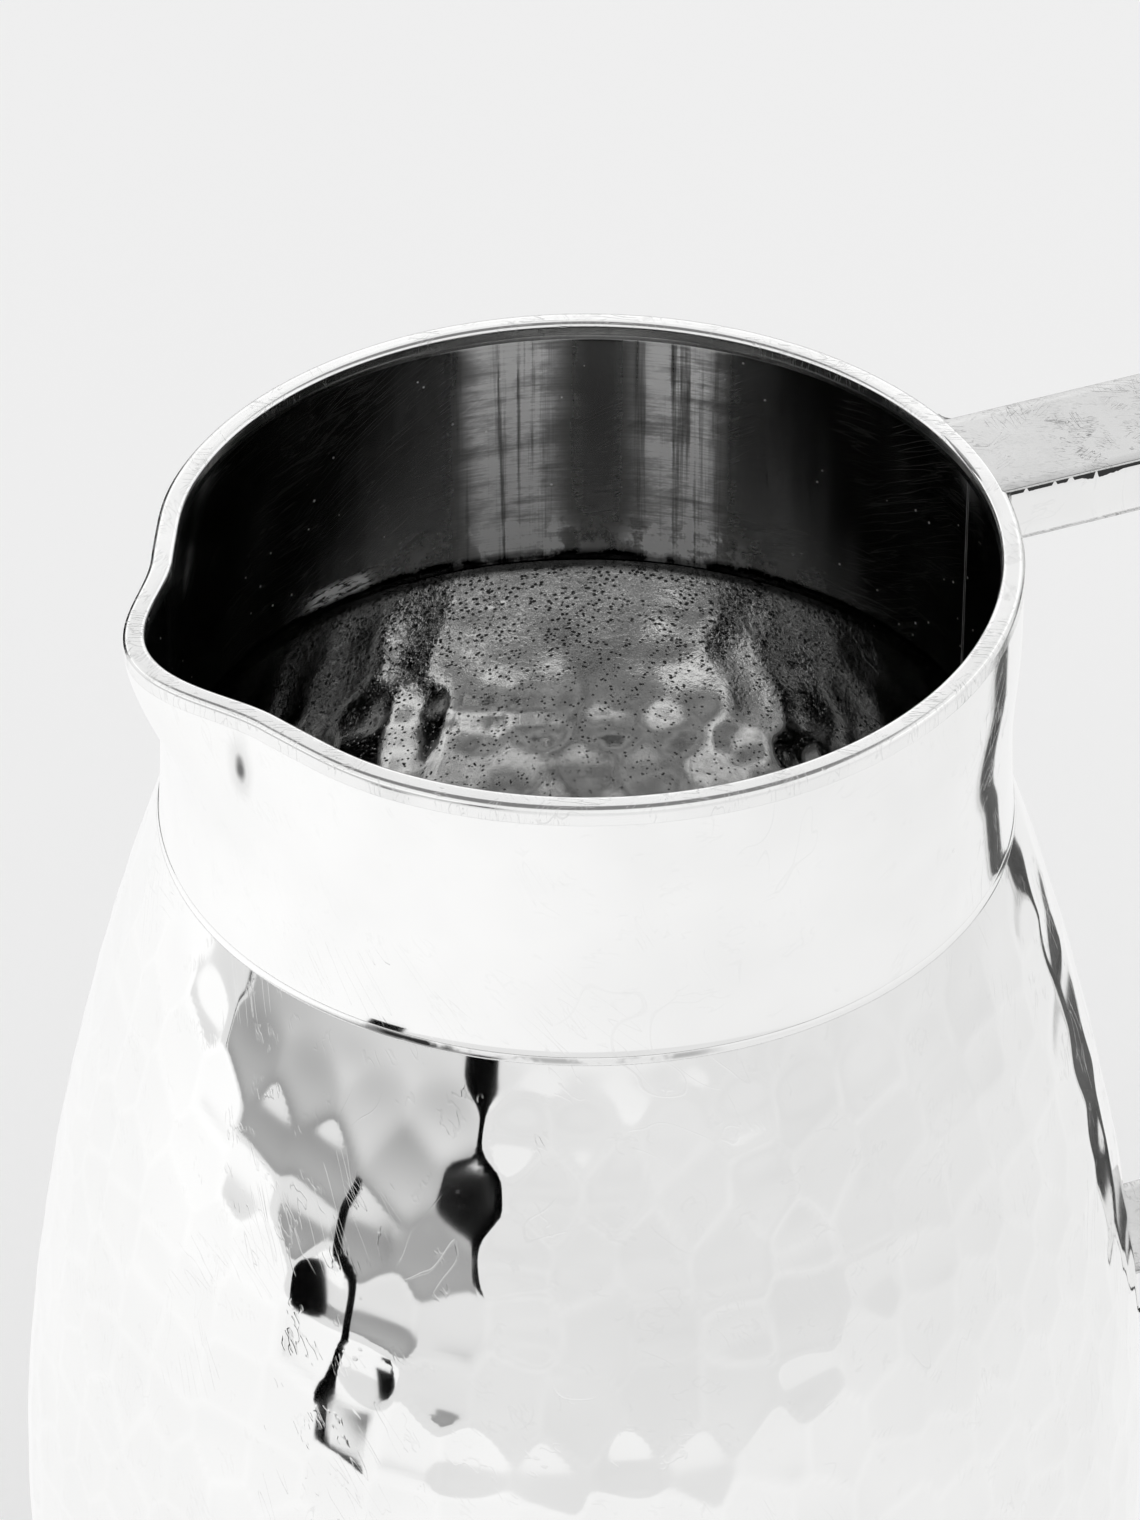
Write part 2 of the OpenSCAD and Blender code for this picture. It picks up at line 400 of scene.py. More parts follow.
class Look:
    """One material under construction: a Principled shader and its nodes."""

    def __init__(self, name, **constants):
        self.material = bpy.data.materials.new(name)
        self.material.use_nodes = True
        self.tree = self.material.node_tree
        self.shader = self.tree.nodes["Principled BSDF"]
        for socket, value in constants.items():
            self.shader.inputs[socket.replace("_", " ")].default_value = value

    def node(self, kind, settings=None, inputs=None, output=0):
        """New node of a type, with settings and socket values; a Value is
        linked and anything else is stored. Returns one output."""
        node = self.tree.nodes.new("ShaderNode" + kind)
        for key, value in (settings or {}).items():
            setattr(node, key, value)
        for key, value in (inputs or {}).items():
            socket = node.inputs[key]
            if isinstance(value, Value):
                self.tree.links.new(value.socket, socket)
            else:
                socket.default_value = value
        return Value(self.tree, node.outputs[output])

    def place(self):
        """Object coordinates in metres."""
        return self.node("TexCoord", output="Object")

    def ridge_highlight(self):
        """Painted highlight on the hammered ridges, stored on the mesh."""
        return self.node("Attribute", {"attribute_name": "ridge_highlight"}, output="Fac")

    def surface(self):
        """Coordinates laid along the surface, in metres."""
        return self.node("UVMap", {"uv_map": "surface"})

    def xyz(self, vector):
        node = self.tree.nodes.new("ShaderNodeSeparateXYZ")
        self.tree.links.new(vector.socket, node.inputs[0])
        return [Value(self.tree, o) for o in node.outputs]

    def vector(self, x, y, z):
        return self.node("CombineXYZ", inputs={"X": x, "Y": y, "Z": z})

    def color(self, red, green, blue):
        return self.node("CombineColor", inputs={"Red": red, "Green": green, "Blue": blue})

    def turned(self, vector, turn, scale):
        """Coordinates turned by Euler angles and then stretched."""
        return self.node("Mapping", inputs={"Vector": vector, "Rotation": turn, "Scale": scale})

    def noise(self, vector, scale, detail=2.0, rough=0.5):
        return self.node("TexNoise", inputs={
            "Vector": vector, "Scale": scale, "Detail": detail, "Roughness": rough})

    def stretched(self, vector, scale, detail, rough=0.5, turn=(0, 0, 0)):
        """Noise with a scale of its own in each direction."""
        return self.noise(self.turned(vector, turn, scale), 1.0, detail, rough)

    def cells(self, vector, scale):
        """Distance to the middle of the nearest of many cells."""
        return self.node("TexVoronoi", {"feature": "F1"}, {
            "Vector": vector, "Scale": scale}, "Distance")

    def scratches(self, vector, turn, scale, stretch, width, cover, seed):
        """Thin long lines: where a stretched noise passes through one value,
        broken up by a slower noise. 1 in a line and 0 elsewhere."""
        moved = self.node("VectorMath", {"operation": "ADD"},
                          {0: self.turned(vector, turn, (1, 1, 1)), 1: (seed, -seed, seed * 2)})
        lines = self.stretched(moved, (scale, scale * stretch, scale), 1.0)
        gate = self.stretched(moved, (scale * 0.7,) * 3, 1.0)
        line = 1.0 - abs(lines - 0.5).band(width * 0.3, width)
        return line * gate.band(cover, cover + 0.04)

    def crossed(self, vector, *sets):
        """Several sets of scratches over one another."""
        lines = [self.scratches(vector, *each) for each in sets]
        return functools.reduce(Value.high, lines)

    def pits(self, vector, scale, size, cover):
        """Round pits at the middles of cells, kept where a slow noise is high."""
        dot = 1.0 - self.cells(vector, scale).band(size * 0.4, size)
        return dot * self.noise(vector, scale * 0.11, 1.0).band(cover, cover + 0.1)

    def grey(self, dark, light, amount):
        """Neutral grey between two levels."""
        level = dark + amount * (light - dark)
        return self.color(level, level, level * 0.995)

    def bump(self, height, distance, strength):
        return self.node("Bump", inputs={
            "Height": height, "Distance": distance, "Strength": strength})

    def set(self, **links):
        for socket, value in links.items():
            self.tree.links.new(value.socket, self.shader.inputs[socket.replace("_", " ")])
        return self.material


def polished_silver(name, level, rough, wear, stain=False, ridges=False):
    """Bright polished silver with the faint hairlines, dull patches and small
    pits of years of use; wear scales the marks, and ridges adds painted
    highlight on the hammered ridges."""
    look = Look(name, Metallic=1.0)
    at = look.place()
    slow = look.noise(at, 38.0, 3.0, 0.55)
    fine = look.noise(at, 420.0, 2.0, 0.6)
    hair = look.crossed(at, ((0.3, 0.5, 0.4), 70.0, 7.0, 0.010, 0.58, 0.31),
                        ((1.1, 0.2, 1.9), 95.0, 9.0, 0.009, 0.60, 1.7),
                        ((0.1, 1.3, 2.7), 55.0, 12.0, 0.007, 0.60, 4.1))
    scuff = look.scratches(at, (0.7, 0.9, 0.2), 330.0, 4.0, 0.05, 0.60, 6.3)
    nick = look.pits(at, 260.0, 0.13, 0.62)
    tone = slow.band(0.3, 0.75) * 0.5 + 0.5 - hair * (0.45 * wear)
    tone = tone - nick * 0.7 - scuff * (0.35 * wear)
    # Painted highlight: the colour is lighter on the hammered ridges and darker in the marks.
    if ridges:
        tone = tone * 0.8 + look.ridge_highlight() * 0.24 - 0.04
    if stain:
        x, y, z = look.xyz(at)
        around = look.vector(x, y, z * SMUDGE_SQUEEZE + look.noise(at, 240.0, 2.0) * 0.0011)
        smudge = look.node("VectorMath", {"operation": "DISTANCE"}, {
            0: around, 1: SMUDGE_AT}, "Value")
        tone = tone - (1.0 - smudge.band(0.0002, 0.0011)) * 6.0
        tone = tone - (1.0 - smudge.band(0.0004, 0.0026)) * 1.8
    roughness = rough + slow.band(0.42, 0.72) * rough * 0.8
    height = hair * (-0.35 * wear) - nick * 0.8 + fine * 0.02 + slow * 0.4 - scuff * (0.2 * wear)
    return look.set(
        Base_Color=look.grey(level - 0.10, level, tone.clamp(-8.2, 1.15)),
        Roughness=roughness + hair * 0.08 + nick * 0.25 + scuff * 0.05,
        Normal=look.bump(height, 0.00004, 0.5))


def satin_silver(name, level, rough, tarnish=0.0, handled=0.0):
    """Worn flat surfaces: duller, with many fine crossing scratches and dents;
    tarnish darkens them in slow patches, and handled adds clusters of short
    dark scratches."""
    look = Look(name, Metallic=1.0)
    at = look.place()
    slow = look.noise(at, 55.0, 3.0, 0.6)
    fine = look.noise(at, 900.0, 3.0, 0.65)
    marks = look.crossed(at, ((0.0, 0.0, 0.5), 230.0, 6.0, 0.020, 0.54, 2.3),
                         ((0.0, 0.0, 1.6), 180.0, 8.0, 0.016, 0.56, 5.9),
                         ((0.0, 0.0, 2.6), 260.0, 7.0, 0.016, 0.56, 8.7))
    nick = look.pits(at, 430.0, 0.16, 0.58)
    tone = slow.band(0.25, 0.8) * 0.6 + 0.4 - marks * 0.5 - nick * 0.9
    if tarnish:
        tone = tone - look.noise(at, 30.0, 4.0, 0.65).band(0.3, 0.7) * tarnish
    if handled:
        short = look.crossed(at, ((0.0, 0.0, 0.3), 430.0, 5.0, 0.030, 0.50, 3.1),
                             ((0.0, 0.0, 0.9), 520.0, 5.0, 0.030, 0.50, 7.7))
        cluster = look.noise(at, 62.0, 2.0, 0.5).band(0.42, 0.60)
        tone = tone - (short + marks + nick) * (cluster * 0.8 + 0.2) * handled
    return look.set(
        Base_Color=look.grey(level - 0.14, level, tone.clamp(-1.2 - handled, 1.0)),
        Roughness=rough + slow * 0.10 + fine * 0.04 + marks * 0.06 + nick * 0.15,
        Normal=look.bump(fine * 0.12 + slow * 0.5 - marks * 0.45 - nick * 0.9, 0.00005, 0.6))


def neck_lining(name):
    """Inside of the collar: a mirror whose dark colour is painted shade, with
    upright streaks of painted reflection in a few places, rough like wiped
    metal, crossed by fine scratches, dotted with painted glints, rough with a
    painted highlight in a patch towards the lip, rough with painted light
    along the back of its foot, and black with oxide at the joint."""
    look = Look(name, Metallic=1.0)
    at, laid = look.place(), look.surface()
    u, v, _ = look.xyz(laid)
    angle = u / (RIM_R * MM)

    def within(distance, start, end):
        """1 near the middle and 0 past the end of a distance."""
        return 1.0 - distance.band(start, end)

    streak = look.stretched(laid, (520.0, 12.0, 1.0), 4.0, 0.66)
    lines = look.stretched(laid, (26.0, 2600.0, 1.0), 2.0, 0.7, (0, 0, 0.05))
    fine = look.crossed(laid, ((0.0, 0.0, 0.12), 70.0, 12.0, 0.02, 0.48, 2.9),
                        ((0.0, 0.0, 0.55), 60.0, 14.0, 0.016, 0.50, 7.3))
    # Painted glints: small pits made lighter and rougher than the dark lining.
    painted_glints = look.pits(at, 420.0, 0.10, 0.50)
    # Painted light with real roughness: the back of the foot is rough like frosted metal and
    # painted lighter.
    foot = within(abs(angle - BACK_ANGLE), 0.35, 0.75) * within(v, 0.1745, 0.1815)
    foot = foot * look.noise(at, 260.0, 4.0, 0.7).band(0.45, 0.6)
    # Painted reflection: bright upright streaks, rough like wiped metal.
    streak_light = sum(within(abs(angle - middle) / half, 0.25, 1.25) for middle, half in PAINTED_REFLECTIONS)
    streak_light = streak_light * (streak.band(0.24, 0.52) * 0.9 + 0.14)
    streak_light = streak_light * (lines.band(0.36, 0.60) * 0.22 + 0.88)
    mottle = look.stretched(laid, (110.0, 260.0, 1.0), 4.0, 0.7, (0, 0, 0.2))
    streak_light = streak_light * (mottle.band(0.34, 0.62) * 0.35 + 0.70)
    # Painted highlight: a rough patch made lighter.
    highlight_patch = within(abs(angle - HIGHLIGHT_AT[0]) / HIGHLIGHT_HALF[0], 0.4, 1.1)
    highlight_patch = highlight_patch * within(abs(v - HIGHLIGHT_AT[1]) / HIGHLIGHT_HALF[1], 0.4, 1.1)
    torn = look.stretched(laid, (420.0, 1500.0, 1.0), 4.0, 0.7, (0, 0, 0.35))
    highlight_patch = highlight_patch * torn.band(0.40, 0.52)
    dark_line = within(v, 0.1724, 0.1742)
    haze = streak_light * 0.70 + foot * 0.4 + fine * 0.09 + painted_glints * 0.4 + highlight_patch * 0.66
    tone = streak_light + foot * 0.6 + fine * 0.06 + painted_glints + highlight_patch - dark_line * 1.1
    # Painted shade: the lining's colour stays dark wherever nothing lighter is painted.
    return look.set(
        Base_Color=look.grey(0.25, 0.98, tone.clamp(-1.0, 1.0)),
        Roughness=(haze + 0.13).clamp(0.05, 0.75),
        Normal=look.bump(lines * 0.14 + streak * 0.1 + foot * 0.2 - fine * 0.3, 0.00005, 0.5))


def bowl_lining(name):
    """Inside of the bowl: dull mirror with painted shade on its sides, peppered
    with small dark pits that crowd together near the collar and thin out below."""
    look = Look(name, Metallic=1.0)
    at = look.place()
    x, y, z = look.xyz(at)
    slow = look.noise(at, 60.0, 4.0, 0.6)
    grain = look.noise(at, 1500.0, 3.0, 0.7)
    ragged = look.node("TexNoise", inputs={"Vector": at, "Scale": 1600.0}, output="Color")
    ragged = look.node("VectorMath", {"operation": "SCALE"}, {0: ragged, "Scale": 0.0004})
    shifted = look.node("VectorMath", {"operation": "ADD"}, {0: at, 1: ragged})
    dense = z.band(0.125, 0.170) * 0.14
    pepper = 1.0 - (look.cells(shifted, 1250.0) - dense).band(0.12, 0.26)
    pepper = pepper * look.noise(at, 260.0, 3.0, 0.7).band(0.44, 0.50)
    coarse = look.pits(shifted, 560.0, 0.17, 0.50)
    rough_top = z.band(0.135, 0.166) * look.noise(at, 800.0, 3.0, 0.7).band(0.40, 0.66)
    dark = pepper.high(coarse * 0.9)
    # Painted shade: darker on the sides, away from BACK_ANGLE, above about 0.1 m.
    side_shade = abs(y.atan2(x) - BACK_ANGLE).band(0.50, 0.95) * z.band(0.09, 0.12)
    tone = 0.68 + slow.band(0.3, 0.7) * 0.30 + grain * 0.14 - dark * 1.0 - side_shade * 0.75
    tone = tone - z.band(0.1680, 0.1700)
    return look.set(
        Base_Color=look.grey(0.12, 0.97, tone.clamp(-0.05, 1.0)),
        Roughness=0.04 + slow * 0.03 + grain * 0.02 + dark * 0.2,
        Normal=look.bump(grain * 0.03 + slow * 0.3 - dark * 0.35 + rough_top * 0.3, 0.00012, 0.7))


def joint_silver(name):
    """Solder line under the collar: bright, with a broken black line of painted
    reflection on the lip's side that dies out towards the handle."""
    look = Look(name, Metallic=1.0)
    at = look.place()
    x, y, z = look.xyz(at)
    angle = y.atan2(x)
    gap = look.noise(look.vector(angle * 11.0, z * 300.0, 0.0), 1.0, 3.0, 0.6).band(0.40, 0.56)
    low = 1.0 - abs(z - 0.1717).band(0.0001, 0.0006)
    # Painted reflection: a black line on the lip's side and a fainter one round the front.
    black = angle.band(-2.50, -2.43) * (1.0 - angle.band(-2.34, -2.24))
    faint = angle.band(-2.40, -2.25) * (1.0 - angle.band(-1.74, -1.64)) * 0.45
    dark_line = gap * low * (black + faint)
    return look.set(
        Base_Color=look.grey(0.97, 0.04, dark_line.clamp()),
        Roughness=0.09 + look.noise(at, 500.0, 3.0) * 0.08 + dark_line * 0.2,
        Normal=look.bump(look.noise(at, 420.0, 3.0), 0.00002, 0.5))


def seam_black(name):
    """Painted shade in a soldered seam, together with the oxide and polish left in it."""
    look = Look(name, Metallic=0.6)
    at = look.place()
    lump = look.noise(at, 900.0, 2.0)
    return look.set(
        Base_Color=look.grey(0.010, 0.05, lump),
        Roughness=0.45 + lump * 0.3)


@functools.cache
def material(key):
    """Materials are made once, when a piece first asks for one."""
    makers = {
        "bowl": lambda: polished_silver("silver_hammered", 0.965, 0.055, 0.8, ridges=True),
        "collar": lambda: polished_silver("silver_plain", 0.975, 0.06, 0.5, stain=True),
        "joint": lambda: joint_silver("silver_joint"),
        "rim": lambda: satin_silver("silver_rim", 0.96, 0.11),
        "handle": lambda: satin_silver("silver_handle", 0.74, 0.17, handled=2.2),
        # Painted shade: the grip's inner face, toward the bowl, gets a dark silver.
        "handle_inside": lambda: satin_silver("silver_handle_inside_shaded", 0.20, 0.16, 0.4),
        "handle_side": lambda: polished_silver("silver_handle_side", 0.95, 0.12, 0.8),
        "neck_lining": lambda: neck_lining("silver_neck_lining"),
        "bowl_lining": lambda: bowl_lining("silver_bowl_lining"),
        "seam": lambda: seam_black("seam_shade_oxide"),
        "base": lambda: satin_silver("silver_base", 0.84, 0.26),
    }
    return makers[key]()


def card_light(name, level, slope=(0.0, 0.0, 0.0), drift=0.0):
    """Emission for a studio card: one level that changes by slope per metre
    along X, Y and Z and drifts slowly."""
    look = Look(name)
    color = (level, level, level, 1)
    if drift or any(slope):
        x, y, z = look.xyz(look.place())
        lit = x * slope[0] + y * slope[1] + z * slope[2] + level
        lit = lit + (look.noise(look.place(), 3.5, 2.0) - 0.5) * drift
        color = look.vector(lit, lit, lit)
    glow = look.node("Emission", inputs={"Color": color})
    look.tree.nodes.remove(look.shader)
    look.tree.links.new(glow.socket, look.tree.nodes["Material Output"].inputs["Surface"])
    return look.material


# ---- settings ----


def number(name, description, default, **limits):
    return bpy.props.FloatProperty(name=name, description=description, default=default, **limits)


def whole(name, description, default, **limits):
    return bpy.props.IntProperty(name=name, description=description, default=default, **limits)


class PitcherBowlSettings(bpy.types.PropertyGroup):
    mark_pitch: number("Hammer mark size", "Distance between hammer marks, in millimetres",
                       9.4, min=5, max=20)
    mark_concave: number("Mark hollow", "Curvature of each mark, per millimetre",
                         0.0028, min=0, max=0.01)
    mark_jitter: number("Mark jitter", "How far marks stray from their rows, in pitches",
                        0.13, min=0, max=0.4)
    relief: number("Relief", "Strength of the hammered relief",
                   1.0, min=0, max=2, subtype="FACTOR")
    inside_relief: number("Inside relief", "Strength of the relief that shows inside",
                          1.3, min=0, max=2, subtype="FACTOR")
    columns: whole("Columns", "Vertices round the bowl", 480, min=64, max=800)
    seed: whole("Seed", "Seed of the marks", 11)


class PitcherLipSettings(bpy.types.PropertyGroup):
    reach: number("Reach", "How far the pouring lip stands out, in millimetres",
                  6.0, min=2, max=12)
    half_angle: number("Half angle", "Half of the angle the lip takes up, in degrees",
                       21.0, min=10, max=40)
    depth: number("Depth", "Depth over which the lip fades out, in millimetres",
                  26.0, min=10, max=34)
    columns: whole("Columns", "Vertices round the collar", 420, min=64, max=800)


class PitcherHandleSettings(bpy.types.PropertyGroup):
    edge: number("Edge softness", "Radius of the strips' edges, in millimetres",
                 0.16, min=0.05, max=0.2)
    seam: number("Seam width", "Width of the dark line in the seams, in millimetres",
                 0.6, min=0.05, max=0.8)
    seed: whole("Seed", "Seed of the seams", 5)


class PitcherStageSettings(bpy.types.PropertyGroup):
    azimuth: number("Azimuth", "Camera's direction round the pitcher",
                    math.radians(-22.9), subtype="ANGLE")
    elevation: number("Elevation", "Camera's height above the rim, as an angle",
                      math.radians(34.51), subtype="ANGLE")
    tilt: number("Tilt", "How far the camera looks down", math.radians(36.2), subtype="ANGLE")
    distance: number("Distance", "From the middle of the rim to the camera", 0.9, unit="LENGTH")
    lens: number("Lens", "Focal length in millimetres on a 36 mm sensor", 170.06)
    sideways: number("Shift", "Sideways lens shift", -0.0107)
    world: number("World light", "Level of the even light", 0.93)
    floor: number("Floor", "How much light the floor gives back",
                  0.93, subtype="FACTOR", min=0, max=1)


# ---- pieces ----


class PITCHER_OT_bowl(bpy.types.Operator):
    """Hammered bowl, outside and inside"""

    bl_idname = "pitcher.bowl"
    bl_label = "Bowl"

    def execute(self, context):
        """Outside and inside are surfaces around the axis on one profile; the
        hammered relief moves them along the profile's normal."""
        s = context.scene.pitcher_bowl
        z = FOOT_H + (SEAM_Z - FOOT_H) * (1 - np.cos(np.linspace(0, np.pi, 400))) / 2
        profile, along = resample(np.stack([bowl_radius(z), z], -1), 202)
        slope = np.gradient(profile, along, axis=0)
        normal = np.stack([slope[:, 1], -slope[:, 0]], -1)
        normal /= np.linalg.norm(normal, axis=1, keepdims=True)
        theta, r, zz = lathe_grid(profile, s.columns)
        relief, ridge = hammer_marks(theta, along, profile[:, 0], s.mark_pitch, s.seed,
                                     s.mark_concave, s.mark_jitter)
        below = np.clip((along[-1] - along - 1.5) / 10.0, 0, 1)
        edge = np.minimum(np.clip(along / 4.0, 0, 1), below * below * (3 - 2 * below))
        h = relief * s.relief * edge
        outside = around(theta, r + h * normal[:, 0], zz + h * normal[:, 1])
        uv = np.stack([theta * BOWL_UV_R, np.broadcast_to(along, r.shape)], -1)
        # Nearness to a ridge goes on the mesh for the painted highlight on the ridges.
        piece = grid_object("bowl_outside", outside, uv=uv, ridge_highlight=ridge * edge)
        finish_piece(piece, ["bowl"], "bowl")

        # The inside takes every other column and row of the same relief.
        h = relief[::2, ::2] * s.inside_relief * edge[::2]
        n = normal[::2]
        theta, r, zz = lathe_grid(profile[::2] - n * BOWL_WALL, s.columns // 2)
        inside = around(theta, r + h * n[:, 0], zz + h * n[:, 1])
        uv = np.stack([theta * BOWL_UV_R, np.broadcast_to(along[::2], r.shape)], -1)
        lining = grid_object("bowl_inside", inside, flip=True, uv=uv)
        finish_piece(lining, ["bowl_lining"], "bowl", replaces=False)
        return {"FINISHED"}


class PITCHER_OT_collar(bpy.types.Operator):
    """Collar with its pouring lip, and the rim band on top of it"""

    bl_idname = "pitcher.collar"
    bl_label = "Collar and rim"

    def execute(self, context):
        """Both are one closed section carried round the axis and pushed out by
        lip_offset."""
        s = context.scene.pitcher_lip
        top = TOTAL_H - RIM_T
        outer_z = np.concatenate([[SEAM_Z], np.linspace(SEAM_Z + 0.03, SEAM_Z + 1, 7),
                                  np.linspace(SEAM_Z + 1, top - 0.04, 36)[1:], [top]])
        bore = np.linspace((COLLAR_BORE_R, top), (COLLAR_BORE_R, SEAM_Z), 36)
        section = np.concatenate([np.stack([collar_radius(outer_z), outer_z], -1), bore])
        slots = np.arange(len(section)) >= len(outer_z)
        collar = self.band("collar_wall", section, s, slots)
        finish_piece(collar, ["collar", "neck_lining"], "collar")

        t = TOTAL_H
        inner = RIM_R - RIM_W
        outer_round = bezier((RIM_R, t - 1.0), (RIM_R, t), (RIM_R - 0.95, t), 14)
        bead = bezier((inner + 0.75, t), (inner, t), (inner, t - 0.75), 10)
        section = np.concatenate([
            [(RIM_R, top), (RIM_R, top + 0.04), (RIM_R, t - 1.6), (RIM_R, t - 1.06)], outer_round,
            [(RIM_R - 1.15, t), (inner + 1.1, t)], bead, [(inner, t - 1.4), (inner, top)]])
        rim = self.band("rim_band_worn", section, s, 0)
        finish_piece(rim, ["rim"], "rim_band")
        return {"FINISHED"}

    def band(self, name, section, s, slots):
        theta, r, z = lathe_grid(section, s.columns)
        r = r + lip_offset(theta, z, s.reach, s.half_angle, s.depth)
        wobble = np.clip((z - SEAM_Z) / 20, 0, 1)
        r = r + 0.05 * smooth_noise(theta, z, 3, 30.0) * wobble
        uv = np.stack([theta * RIM_R, z], -1)
        return grid_object(name, around(theta, r, z), close_rows=True, slots=slots, uv=uv)


class PITCHER_OT_handle(bpy.types.Operator):
    """Squared hollow handle: outer and inner strips, two side strips, seams"""

    bl_idname = "pitcher.handle"
    bl_label = "Handle"

    def execute(self, context):
        """Each strip is a rounded rectangle (across the handle, down into it)
        carried along the handle's squared path."""
        s = context.scene.pitcher_handle
        w = HANDLE_W / 2
        self.strip("handle_outer_strip_soft", (-w, w), (0.0, STRIP_EDGE), s.edge,
                   "handle_outer_strip", ["handle"])
        self.strip("handle_inner_strip_soft", (-w, w), (HANDLE_T - STRIP_EDGE, HANDLE_T), s.edge,
                   "handle_inner_strip", ["handle", "handle_inside"])
        outer = w - SIDE_INSET
        depths = (STRIP_EDGE - 0.1, HANDLE_T - STRIP_EDGE + 0.1)
        for node, across in (("handle_near_side", (-outer, STRIP_T - outer)),
                             ("handle_far_side", (outer - STRIP_T, outer))):
            self.strip(node + "_soft", across, depths, 0.06, node, ["handle_side"])
        rng = np.random.default_rng(s.seed)
        # Dark ribbons in the seams: painted shade of the gaps between strips, and oxide.
        for side in (-1, 1):
            self.seam(side, STRIP_EDGE - 0.1, s.seam, rng)
            self.seam(side, HANDLE_T - STRIP_EDGE, s.seam * 0.05, rng)
        return {"FINISHED"}

    @staticmethod
    def path(depth, y):
        """Points along the handle at a depth below its outer face and a
        distance y across it, from the collar round to the bowl."""
        radius = CORNER_R - depth
        x1, top, low = GRIP_OUT_X - depth, TOTAL_H - CLEARANCE - depth, LOWER_ARM_Z + depth
        turn = np.linspace(0, np.pi / 2, 14)
        corner = np.stack([x1 - radius + radius * np.sin(turn),
                           top - radius + radius * np.cos(turn)], -1)
        foot = np.stack([corner[::-1, 0], low + top - corner[::-1, 1]], -1)
        bury = OUTER_STRIP_BURY if depth < STRIP_EDGE + 0.2 else STRIP_BURY
        root = math.sqrt((RIM_R - bury) ** 2 - y**2)
        base = math.sqrt(float(bowl_radius(low)) ** 2 - y**2) - ARM_BURY
        arm = np.linspace((root, top), (corner[0, 0], top), 40)
        grip = np.linspace((x1, corner[-1, 1]), (x1, foot[0, 1]), 40)
        back = np.linspace((foot[-1, 0], low), (base, low), 30)
        line = np.concatenate([arm, corner[1:], grip[1:], foot[1:], back[1:]])
        return np.insert(line, 1, y, axis=1)

    def strip(self, name, across, depths, edge, node, looks):
        ring = []
        (y0, y1), (d0, d1) = across, depths
        corners = ((y1 - edge, d0 + edge), (y1 - edge, d1 - edge),
                   (y0 + edge, d1 - edge), (y0 + edge, d0 + edge))
        for i, (y, d) in enumerate(corners):
            for a in (i + np.linspace(0, 1, 4)) * np.pi / 2:
                ring.append((y + edge * np.sin(a), d - edge * np.cos(a)))
        section = []
        for (y, d), (y2, d2) in zip(ring, ring[1:] + ring[:1]):
            parts = max(int(math.hypot(y2 - y, d2 - d) // SECTION_STEP), 1)
            section += [(y + (y2 - y) * t, d + (d2 - d) * t) for t in np.arange(parts) / parts]
        points = np.stack([self.path(d, y) for y, d in section], 1)
        # The grip's inner face takes the second look, dark with painted shade.
        inside = np.array([d > d1 - 0.01 and d1 > HANDLE_T - 0.01 for _, d in section])
        piece = grid_object(name, points, close_columns=False, close_rows=True, caps=True,
                            flip=True, slots=inside & np.roll(inside, -1),
                            slot_columns=GRIP_STEPS)
        finish_piece(piece, looks, node)

    def seam(self, side, depth, width, rng):
        """Broken dark line of painted shade and oxide along an edge where two
        strips meet: a flat ribbon whose half width wanders, and nearly ends at lumps
        of solder."""
        outer = depth < HANDLE_T / 2
        y = side * (HANDLE_W / 2 + CLEARANCE)
        line = self.path(depth, y)
        steps = np.arange(len(line))
        at = np.interp(np.linspace(0, 1, SEAM_STEPS), np.linspace(0, 1, len(line)), steps)
        x, z = (np.interp(at, steps, line[:, i]) for i in (0, 2))
        window = 9
        noise = rng.normal(size=SEAM_STEPS + window - 1)
        tone = np.convolve(noise, np.ones(window) / window, "valid") * 3
        half = width * (1.15 + 0.35 * np.clip(tone, -0.9, 1.2))
        lumps = rng.integers(12, SEAM_STEPS - 10, SEAM_LUMPS)
        half[np.concatenate([lumps, lumps + 1])] = LUMP_HALF
        inward = np.stack([np.gradient(z), -np.gradient(x)], -1)
        inward /= np.linalg.norm(inward, axis=1, keepdims=True) + 1e-9
        over = inward * half[:, None] * (1 if outer else -1)
        level = np.zeros(SEAM_STEPS)
        near = np.stack([x, level + y, z], -1)
        far = near + np.stack([over[:, 0], level, over[:, 1]], -1)
        name = f"seam_{'near' if side < 0 else 'far'}_{'outer' if outer else 'inner'}"
        ribbon = grid_object(name, np.stack([near, far], 1), close_columns=False, flip=side < 0)
        node = "handle_near_side" if side < 0 else "handle_far_side"
        finish_piece(ribbon, ["seam"], node, replaces=False)


